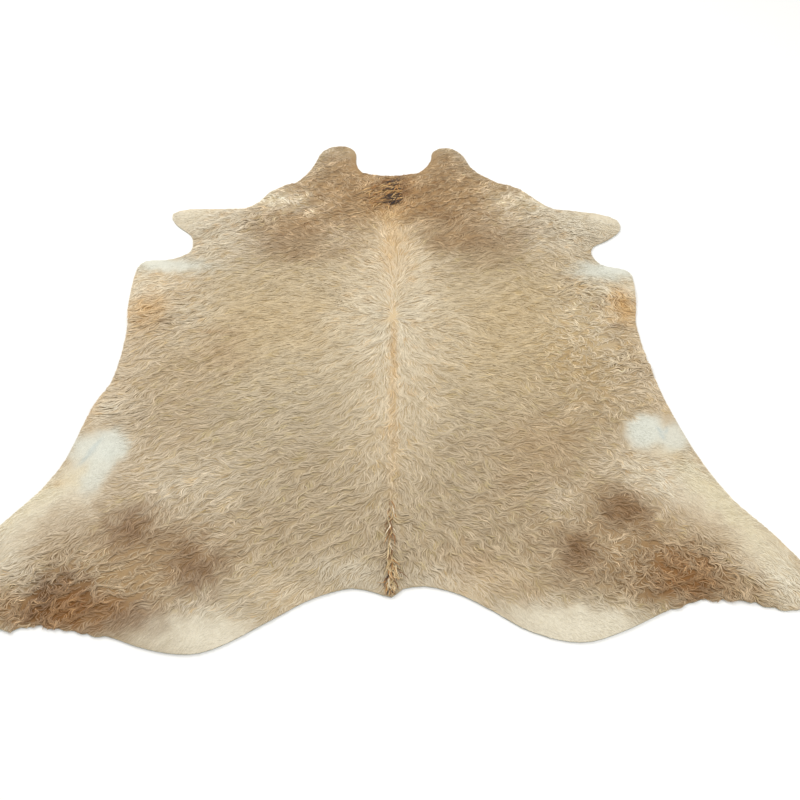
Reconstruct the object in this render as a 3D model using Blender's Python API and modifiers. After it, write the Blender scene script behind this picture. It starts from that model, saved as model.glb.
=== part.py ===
"""Cowhide rug: one whole tanned hide with its hair on, lying flat, hair side up.

Metres, +Z up. +Y runs from tail to neck and +X to the right of someone who
looks along +Y. The origin is the middle of the rug's box, on the floor.
The hide is one solid: a flat skin whose top face stands as high as its coat.
"""

import math
from collections import namedtuple

import bmesh
import bpy
import numpy as np
from mathutils import Vector
from mathutils.geometry import delaunay_2d_cdt, interpolate_bezier

OBJECT_NAME = "cowhide_rug"
NODE_NAME = "hide"

# The skin and the coat that lies on it
SKIN = 0.0025
COAT = 0.0055
RIM_THICKNESS = 0.0040
RIM_WIDTH = 0.045

# How closely the edge, the ring of points inside it and the middle are divided,
# and how near the ring may come to the edge and to itself in a tight corner
EDGE_STEP = 0.024
RAGGED_STEP = 0.011
RING_INSET = 0.020
RING_TO_EDGE = 0.85 * RING_INSET
RING_TO_ITSELF = 0.70 * RING_INSET
FIELD_STEP = 0.058
FIELD_TO_EDGE = RING_INSET + 0.5 * FIELD_STEP

# Curly locks hang over the ragged stretches of the edge, one to each pitch.
# They reach from 0.3 to 1 times the stretch's own figure, unevenly.
LOCK_PITCH = 0.041
LOCK_MEAN = 0.65
LOCK_SWING = 0.35
LOCK_BEAT = 2.3

# Patches and waves are full in the middle third of their reach, then run out
RUN_OUT = 1.5

# What the triangle fill is told: keep the faces inside the edge, merge nothing
INSIDE_FACES = 1
MERGE_DISTANCE = 1e-6

SHARP_ANGLE = math.radians(40.0)
COAT_COLOUR = (0.480, 0.384, 0.268, 1.0)
COAT_ROUGHNESS = 0.75

# Where the knife turned. "out" is measured from the backbone to that side and
# "fore" from the root of the tail towards the neck. "bend" is 0 at a sharp
# corner and 1 or a little more on a full round. "ragged" is how far the locks
# hang over the edge between this corner and the next one towards the tail.
Corner = namedtuple("Corner", "name left_out left_fore right_out right_fore bend ragged")
CORNERS = (
    Corner("nape notch", 0.056, 1.796, 0.055, 1.804, 0.6, 0.0),
    Corner("neck lobe root", 0.115, 1.815, 0.086, 1.812, 0.9, 0.0),
    Corner("neck lobe inner side", 0.137, 1.868, 0.128, 1.880, 1.0, 0.0),
    Corner("neck lobe inner shoulder", 0.147, 1.958, 0.142, 1.955, 1.1, 0.0),
    Corner("neck lobe tip", 0.200, 1.992, 0.190, 1.979, 1.2, 0.0),
    Corner("neck lobe outer shoulder", 0.259, 1.957, 0.240, 1.938, 1.1, 0.0),
    Corner("neck side", 0.283, 1.880, 0.269, 1.856, 1.0, 0.0),
    Corner("neck base", 0.306, 1.812, 0.294, 1.812, 0.7, 0.0),
    Corner("first cheek", 0.346, 1.748, 0.365, 1.745, 0.5, 0.0),
    Corner("second cheek", 0.376, 1.737, 0.394, 1.736, 0.5, 0.0),
    Corner("shoulder", 0.432, 1.691, 0.438, 1.706, 0.5, 0.0),
    Corner("shoulder notch", 0.464, 1.630, 0.500, 1.628, 0.5, 0.0),
    Corner("front leg root", 0.507, 1.592, 0.541, 1.587, 0.6, 0.0),
    Corner("front leg top", 0.610, 1.586, 0.620, 1.572, 0.9, 0.0),
    Corner("front leg outer top", 0.700, 1.584, 0.702, 1.552, 0.9, 0.0),
    Corner("front leg tip", 0.751, 1.556, 0.751, 1.518, 0.9, 0.0),
    Corner("front leg back", 0.733, 1.499, 0.752, 1.462, 1.0, 0.0),
    Corner("front leg underside", 0.672, 1.432, 0.702, 1.406, 0.9, 0.0),
    Corner("armpit front", 0.659, 1.385, 0.651, 1.369, 0.9, 0.0),
    Corner("armpit", 0.661, 1.346, 0.640, 1.326, 1.0, 0.0),
    Corner("armpit back", 0.684, 1.318, 0.664, 1.273, 0.9, 0.0),
    Corner("chest shelf", 0.735, 1.298, 0.703, 1.257, 0.9, 0.0),
    Corner("chest corner", 0.798, 1.292, 0.740, 1.243, 0.8, 0.0),
    Corner("chest side", 0.820, 1.255, 0.755, 1.215, 0.9, 0.0),
    Corner("belly front", 0.816, 1.065, 0.747, 1.080, 1.0, 0.0),
    Corner("belly", 0.799, 0.950, 0.731, 0.966, 1.0, 0.0),
    Corner("flank", 0.801, 0.738, 0.752, 0.705, 1.0, 0.0),
    Corner("flank back", 0.839, 0.600, 0.801, 0.472, 1.0, 0.0),
    Corner("stifle", 0.870, 0.412, 0.839, 0.355, 1.0, 0.0),
    Corner("thigh front", 0.911, 0.308, 0.880, 0.268, 1.0, 0.0),
    Corner("shank front", 0.984, 0.192, 0.957, 0.154, 1.0, 0.0),
    Corner("hock front", 1.036, 0.078, 1.002, 0.062, 0.7, 0.0),
    Corner("hock back", 1.022, -0.092, 0.994, -0.020, 0.5, 0.006),
    Corner("shank back", 0.900, -0.112, 0.940, -0.059, 0.8, 0.010),
    Corner("thigh back", 0.812, -0.100, 0.858, -0.036, 0.9, 0.010),
    Corner("thigh root", 0.700, -0.124, 0.742, -0.027, 0.9, 0.007),
    Corner("buttock outer side", 0.650, -0.133, 0.656, -0.056, 0.9, 0.0),
    Corner("buttock back", 0.555, -0.167, 0.530, -0.120, 1.0, 0.0),
    Corner("buttock end", 0.458, -0.180, 0.432, -0.148, 1.1, 0.0),
    Corner("buttock inner side", 0.388, -0.157, 0.318, -0.117, 1.0, 0.0),
    Corner("rump", 0.280, -0.087, 0.232, -0.058, 1.0, 0.0),
    Corner("tail side", 0.186, -0.026, 0.160, -0.014, 1.0, 0.0),
    Corner("tail hollow", 0.095, 0.003, 0.080, 0.009, 0.9, 0.0),
    Corner("tail root", 0.038, -0.010, 0.026, 0.001, 0.6, 0.0),
)
NAPE = Vector((0.0, 1.792))
NAPE_BEND = 0.8
TAIL_TIP = Vector((0.0, -0.023))
TAIL_BEND = 0.7

# Where the coat stands higher or lower than on the rest of the hide. "side" is
# -1 on the left and 1 on the right, and the reaches are the patch's half sizes.
Patch = namedtuple("Patch", "name side out fore reach_out reach_fore rise")
COAT_PATCHES = (
    Patch("neck curls", 1, 0.00, 1.62, 0.45, 0.24, 0.0015),
    Patch("poll tuft", 1, 0.00, 1.73, 0.05, 0.11, 0.0025),
    Patch("backbone crest", 1, 0.00, 1.05, 0.05, 0.60, 0.0015),
    Patch("rump waves", 1, 0.00, 0.25, 0.70, 0.30, 0.0020),
    Patch("tail streak", 1, 0.00, 0.12, 0.04, 0.22, 0.0025),
    Patch("left thigh curls", -1, 0.78, 0.02, 0.22, 0.17, 0.0025),
    Patch("right thigh curls", 1, 0.68, 0.08, 0.22, 0.15, 0.0025),
    Patch("left flank, bare", -1, 0.78, 0.52, 0.11, 0.17, -0.0030),
    Patch("right flank, bare", 1, 0.73, 0.56, 0.10, 0.13, -0.0030),
    Patch("left chest, bare", -1, 0.70, 1.24, 0.14, 0.09, -0.0020),
    Patch("right chest, bare", 1, 0.66, 1.20, 0.12, 0.09, -0.0020),
)

# Places where the skin doesn't lie quite down on the floor: low soft waves,
# "turn" degrees round from the left-to-right line, that run out at both ends.
Wave = namedtuple("Wave", "name side out fore turn half_length half_width lift")
WAVES = (
    Wave("left belly", -1, 0.72, 1.02, 8.0, 0.22, 0.085, 0.0045),
    Wave("left flank", -1, 0.80, 0.64, -18.0, 0.20, 0.080, 0.0040),
    Wave("right chest", 1, 0.62, 1.14, -14.0, 0.20, 0.080, 0.0045),
    Wave("right flank", 1, 0.74, 0.80, 12.0, 0.19, 0.085, 0.0040),
    Wave("left thigh", -1, 0.84, 0.10, 62.0, 0.18, 0.080, 0.0035),
    Wave("right thigh", 1, 0.80, 0.06, -58.0, 0.17, 0.080, 0.0035),
    Wave("left shoulder", -1, 0.52, 1.50, 24.0, 0.18, 0.080, 0.0035),
    Wave("right shoulder", 1, 0.55, 1.48, -24.0, 0.18, 0.080, 0.0035),
)


def clear_scene():
    """Remove what a new file starts with."""
    for obj in list(bpy.data.objects):
        bpy.data.objects.remove(obj, do_unlink=True)


def soft_step(value):
    """A rise from 0 to 1 that starts and ends level."""
    t = min(max(value, 0.0), 1.0)
    return t * t * (3.0 - 2.0 * t)


def edge_loop():
    """The corners from the nape down the left side, round the tail and back up
    the right side, each as (place, bend, how ragged the stretch after it is)."""
    left = [(Vector((-c.left_out, c.left_fore)), c.bend, c.ragged) for c in CORNERS]
    right = [
        (Vector((c.right_out, c.right_fore)), c.bend, towards_nape.ragged)
        for c, towards_nape in zip(CORNERS[1:], CORNERS)
    ]
    first = CORNERS[0]
    last = (Vector((first.right_out, first.right_fore)), first.bend, 0.0)
    return [(NAPE, NAPE_BEND, 0.0)] + left + [(TAIL_TIP, TAIL_BEND, 0.0)] + right[::-1] + [last]


def lock_reach(distance, height):
    """How far the curly locks stand over the edge at a distance along it."""
    place = distance / LOCK_PITCH
    uneven = LOCK_MEAN + LOCK_SWING * math.sin(LOCK_BEAT * place)
    return height * uneven * abs(math.sin(math.pi * place))


def outline_points():
    """The whole edge: Bezier stretches from corner to corner, and the curly locks."""
    loop = edge_loop()
    count = len(loop)
    points = []
    for i, (here, bend, ragged) in enumerate(loop):
        before = loop[i - 1][0]
        after, after_bend = loop[(i + 1) % count][:2]
        beyond = loop[(i + 2) % count][0]
        chord = (after - here).length
        leave = here + (after - before).normalized() * bend * chord / 3.0
        arrive = after - (beyond - here).normalized() * after_bend * chord / 3.0
        pieces = max(2, round(chord / (RAGGED_STEP if ragged else EDGE_STEP)))
        stretch = interpolate_bezier(here, leave, arrive, after, pieces + 1)
        for k in range(pieces):
            along = (stretch[k + 1] - stretch[k]).normalized()
            outward = Vector((along.y, -along.x))
            points.append(stretch[k].xy + outward * lock_reach(chord * k / pieces, ragged))
    return np.array(points)


def distance_to_edge(places, outline):
    """The distance from each place to the nearest stretch of the edge."""
    nearest = np.full(len(places), np.inf)
    for start, end in zip(outline, np.roll(outline, -1, axis=0)):
        stretch = end - start
        share = np.clip((places - start) @ stretch / (stretch @ stretch), 0.0, 1.0)
        gap = np.linalg.norm(places - start - share[:, None] * stretch, axis=1)
        nearest = np.minimum(nearest, gap)
    return nearest


def inside(places, outline):
    """Which places lie within the edge: those with an odd count of crossings."""
    crossings = np.zeros(len(places), dtype=int)
    x, y = places.T
    for (x0, y0), (x1, y1) in zip(outline, np.roll(outline, -1, axis=0)):
        spans = (y0 > y) != (y1 > y)
        if y0 != y1:
            crossings += spans & (x < x0 + (y - y0) * (x1 - x0) / (y1 - y0))
    return crossings % 2 == 1


def ring_points(outline):
    """Points a short way in from the edge, where the coat starts to rise."""
    along = np.roll(outline, -1, axis=0) - np.roll(outline, 1, axis=0)
    along /= np.linalg.norm(along, axis=1)[:, None]
    ring = outline + RING_INSET * np.stack([-along[:, 1], along[:, 0]], axis=1)
    ring = ring[inside(ring, outline) & (distance_to_edge(ring, outline) > RING_TO_EDGE)]
    kept = ring[:1]
    for place in ring[1:]:
        if np.linalg.norm(kept - place, axis=1).min() > RING_TO_ITSELF:
            kept = np.vstack([kept, place])
    return kept


def field_points(outline):
    """An even triangular grid over the rest of the hide."""
    low, high = outline.min(axis=0), outline.max(axis=0)
    row_step = FIELD_STEP * math.sqrt(3.0) / 2.0
    places = []
    for row, y in enumerate(np.arange(low[1], high[1], row_step)):
        start = low[0] + FIELD_STEP * (0.5 if row % 2 else 0.0)
        places += [(x, y) for x in np.arange(start, high[0], FIELD_STEP)]
    places = np.array(places)
    return places[inside(places, outline) & (distance_to_edge(places, outline) > FIELD_TO_EDGE)]


def wave_height(x, y):
    """How far the skin stands off the floor at a place."""
    height = 0.0
    for wave in WAVES:
        turn = math.radians(wave.turn)
        from_x, from_y = x - wave.side * wave.out, y - wave.fore
        along = from_x * math.cos(turn) + from_y * math.sin(turn)
        across = from_y * math.cos(turn) - from_x * math.sin(turn)
        lengthwise = soft_step(RUN_OUT * (1.0 - abs(along) / wave.half_length))
        crosswise = soft_step(1.0 - abs(across) / wave.half_width)
        height += wave.lift * lengthwise * crosswise
    return height


def coat_top(x, y, from_edge):
    """The thickness of skin and coat together at a place."""
    full = SKIN + COAT
    for patch in COAT_PATCHES:
        from_x = (x - patch.side * patch.out) / patch.reach_out
        from_y = (y - patch.fore) / patch.reach_fore
        full += patch.rise * soft_step(RUN_OUT * (1.0 - math.hypot(from_x, from_y)))
    rise = soft_step(from_edge / RIM_WIDTH)
    return RIM_THICKNESS + (full - RIM_THICKNESS) * rise


def coat_material():
    """Hair of a pale brown beige, matt with a faint sheen."""
    material = bpy.data.materials.new("cowhide hair")
    material.use_nodes = True
    shader = material.node_tree.nodes["Principled BSDF"]
    shader.inputs["Base Color"].default_value = COAT_COLOUR
    shader.inputs["Roughness"].default_value = COAT_ROUGHNESS
    shader.inputs["Metallic"].default_value = 0.0
    return material


def hide_skin(outline):
    """The underside as an open sheet of near-even triangles, and its points' places."""
    places = np.vstack([outline, ring_points(outline), field_points(outline)])
    face = [list(range(len(outline)))]
    filled = delaunay_2d_cdt([Vector(p) for p in places], [], face, INSIDE_FACES, MERGE_DISTANCE)
    corners, triangles = filled[0], filled[2]
    middle = (outline.min(axis=0) + outline.max(axis=0)) / 2.0
    skin = bmesh.new()
    for corner in corners:
        skin.verts.new((corner.x - middle[0], corner.y - middle[1], wave_height(*corner)))
    skin.verts.ensure_lookup_table()
    for triangle in triangles:
        skin.faces.new([skin.verts[i] for i in triangle])
    mesh = bpy.data.meshes.new(NODE_NAME)
    skin.to_mesh(mesh)
    skin.free()
    return mesh, np.array(corners)


def make_hide(collection):
    """The one solid: the skin, thickened upwards as far as its coat stands."""
    outline = outline_points()
    mesh, places = hide_skin(outline)
    hide = bpy.data.objects.new(NODE_NAME, mesh)
    collection.objects.link(hide)
    from_edge = distance_to_edge(places, outline)
    tops = [coat_top(x, y, gap) for (x, y), gap in zip(places, from_edge)]
    thickest = max(tops)
    group = hide.vertex_groups.new(name="coat height")
    for i, top in enumerate(tops):
        group.add([i], top / thickest, "REPLACE")
    solid = hide.modifiers.new("skin and coat", "SOLIDIFY")
    solid.thickness = thickest
    solid.offset = 1.0
    solid.vertex_group = group.name
    mesh.materials.append(coat_material())
    mesh.shade_smooth()
    mesh.set_sharp_from_angle(angle=SHARP_ANGLE)
    return hide


def main():
    clear_scene()
    collection = bpy.data.collections.new(OBJECT_NAME)
    bpy.context.scene.collection.children.link(collection)
    make_hide(collection)


main()
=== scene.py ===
"""Cowhide rug: the looks of one tanned hide with its hair on, laid on a pale floor.

Everything is in metres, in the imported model's frame: +Y towards the neck, +Z up.
Places on the hide are given the way a furrier measures it: "out" from the
backbone to one side, and "fore" from the root of the tail towards the neck.
"""

import math
from collections import namedtuple

import bmesh
import bpy
import numpy as np
from bpy.props import FloatProperty, FloatVectorProperty, PointerProperty
from bpy.types import Operator, Panel, PropertyGroup
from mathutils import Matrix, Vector
from mathutils.bvhtree import BVHTree
from mathutils.geometry import delaunay_2d_cdt


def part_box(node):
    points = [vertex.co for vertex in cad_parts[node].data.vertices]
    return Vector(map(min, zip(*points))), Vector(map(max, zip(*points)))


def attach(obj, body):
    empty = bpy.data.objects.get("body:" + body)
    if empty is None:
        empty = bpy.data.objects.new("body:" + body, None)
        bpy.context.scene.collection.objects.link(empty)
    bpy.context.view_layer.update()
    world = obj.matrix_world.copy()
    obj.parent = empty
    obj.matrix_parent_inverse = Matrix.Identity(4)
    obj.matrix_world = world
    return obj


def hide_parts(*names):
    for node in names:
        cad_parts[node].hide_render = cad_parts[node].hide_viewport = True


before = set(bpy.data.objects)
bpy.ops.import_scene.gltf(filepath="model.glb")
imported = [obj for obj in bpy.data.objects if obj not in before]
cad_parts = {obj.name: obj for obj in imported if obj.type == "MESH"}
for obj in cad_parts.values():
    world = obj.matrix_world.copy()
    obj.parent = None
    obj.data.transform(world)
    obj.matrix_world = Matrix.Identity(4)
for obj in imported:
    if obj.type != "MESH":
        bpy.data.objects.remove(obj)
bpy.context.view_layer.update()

bl_info = {
    "name": "Cowhide rug",
    "version": (1, 0, 0),
    "blender": (4, 5, 0),
    "location": "3D View > Sidebar > Cowhide",
    "description": "Builds a hair-on cowhide rug around its packed model",
    "category": "Object",
}

HIDE = "hide"
HIDE_LOW, HIDE_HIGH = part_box(HIDE)

# The backbone and the root of the tail, measured in from the model's box
BACKBONE_X = HIDE_LOW.x + 1.038
TAIL_ROOT_Y = HIDE_LOW.y + 0.180

# Where the hair parts and turns
WHORL_FORE = 1.00
WHORL_REACH = 0.11

SEGMENTS = 4

# Thickness of the model at its rim, where the hair thins out
RIM_DEPTH = 0.004

# The least room for hair over the skin, and the least height of hair over the floor
THINNEST_COAT = 0.0012
LOWEST_HAIR = 0.0008

# Only locks that root nearer to the rim than this are cut back there
RIM_ZONE = 0.06

# Distance between the points of the skin and of the undercoat
SKIN_STEP = 0.060
DOWN_STEP = 0.0125

COAT_TINT = "coat tint"
COAT_SEED = 11


def linear(code):
    """An sRGB hex colour as the linear values that the shaders use."""
    parts = [int(code[i:i + 2], 16) / 255.0 for i in (1, 3, 5)]
    return tuple(c / 12.92 if c <= 0.04045 else ((c + 0.055) / 1.055) ** 2.4 for c in parts)


def tint_property(name, code, description):
    """A colour that a user can change, kept as its linear value."""
    return FloatVectorProperty(
        name=name, description=description, subtype="COLOR", size=3, min=0.0, max=1.0,
        default=linear(code),
    )


def size_property(name, metres, description):
    """A length that a user can change."""
    return FloatProperty(name=name, description=description, unit="LENGTH", default=metres, min=0.0)


class CoatColours(PropertyGroup):
    """The tints of the hair."""

    ivory: tint_property("Ivory", "#d9dacd", "Thin white hair over bare skin")
    milk: tint_property("Milk", "#e6dec8", "White hair on the legs and the hind rims")
    cream: tint_property("Cream", "#d9c9ab", "Hair along the backbone and on the shoulders")
    straw: tint_property("Straw", "#dfd5b6", "Yellowish hair on the front edge of the hind legs")
    blush: tint_property("Blush", "#cbb99c", "Pinkish hair inside the thighs and on the belly")
    greige: tint_property("Greige", "#beb095", "The coat's ground colour")
    gold: tint_property("Gold", "#c3ac83", "Warm patches on the ribs")
    apricot: tint_property("Apricot", "#cda870", "Stains on the belly and along the backbone")
    taupe: tint_property("Taupe", "#a9885c", "Brown hair on the neck and shoulders")
    umber: tint_property("Umber", "#80603c", "Brown spots and curls on the thighs")
    ginger: tint_property("Ginger", "#a67a46", "Golden brown tips in the curls")
    soot: tint_property("Soot", "#38261a", "Dark locks at the poll and the tail")
    vein: tint_property("Vein", "#bcc3bd", "Grey veins in the bare patches")


class CoatSizes(PropertyGroup):
    """How the hair grows."""

    spacing: size_property("Spacing", 0.00512, "Distance between the roots of two locks")
    length: size_property("Length", 0.046, "Length of a lock on the ribs")
    width: size_property("Width", 0.0025, "Widest part of a lock")
    overhang: size_property("Overhang", 0.0015, "How far the hair stands over the cut edge")
    undercoat: FloatProperty(
        name="Undercoat", description="Height of the dense down, as a share of the coat's depth",
        default=0.66, min=0.0, max=1.0,
    )
    lift: FloatProperty(
        name="Lift", description="How high the locks stand, as a share of the coat's depth",
        default=1.05, min=0.0, max=2.0,
    )


class LeatherSizes(PropertyGroup):
    """The skin under the hair."""

    thickness: size_property("Thickness", 0.0023, "Thickness of the tanned skin")
    flesh: tint_property("Flesh side", "#cfc5b4", "Suede on the underside")
    edge: tint_property("Cut edge", "#b9bdb6", "Chrome-tanned blue-grey where the knife went")


class StageSizes(PropertyGroup):
    """Camera and light, as in a plain product picture."""

    camera_height: size_property("Camera height", 2.154, "Height of the lens over the floor")
    camera_back: size_property("Camera distance", 1.579, "From the tail root back to the lens")
    camera_side: size_property("Camera offset", 0.020, "From the backbone to the lens")
    camera_pitch: FloatProperty(
        name="Camera pitch", description="How far the lens looks down", subtype="ANGLE",
        default=math.radians(44.0),
    )
    focal_length: FloatProperty(
        name="Focal length", description="Millimetres, on a 36 mm wide sensor", default=49.7,
    )
    floor_tint: tint_property("Floor", "#f3f2ef", "Plain pale floor")
    key_power: FloatProperty(name="Key light", description="Power in watts", default=110.0)
    fill_power: FloatProperty(name="Fill light", description="Power in watts", default=45.0)
    sky_strength: FloatProperty(name="Sky", description="Strength of the white sky", default=0.83)


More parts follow.
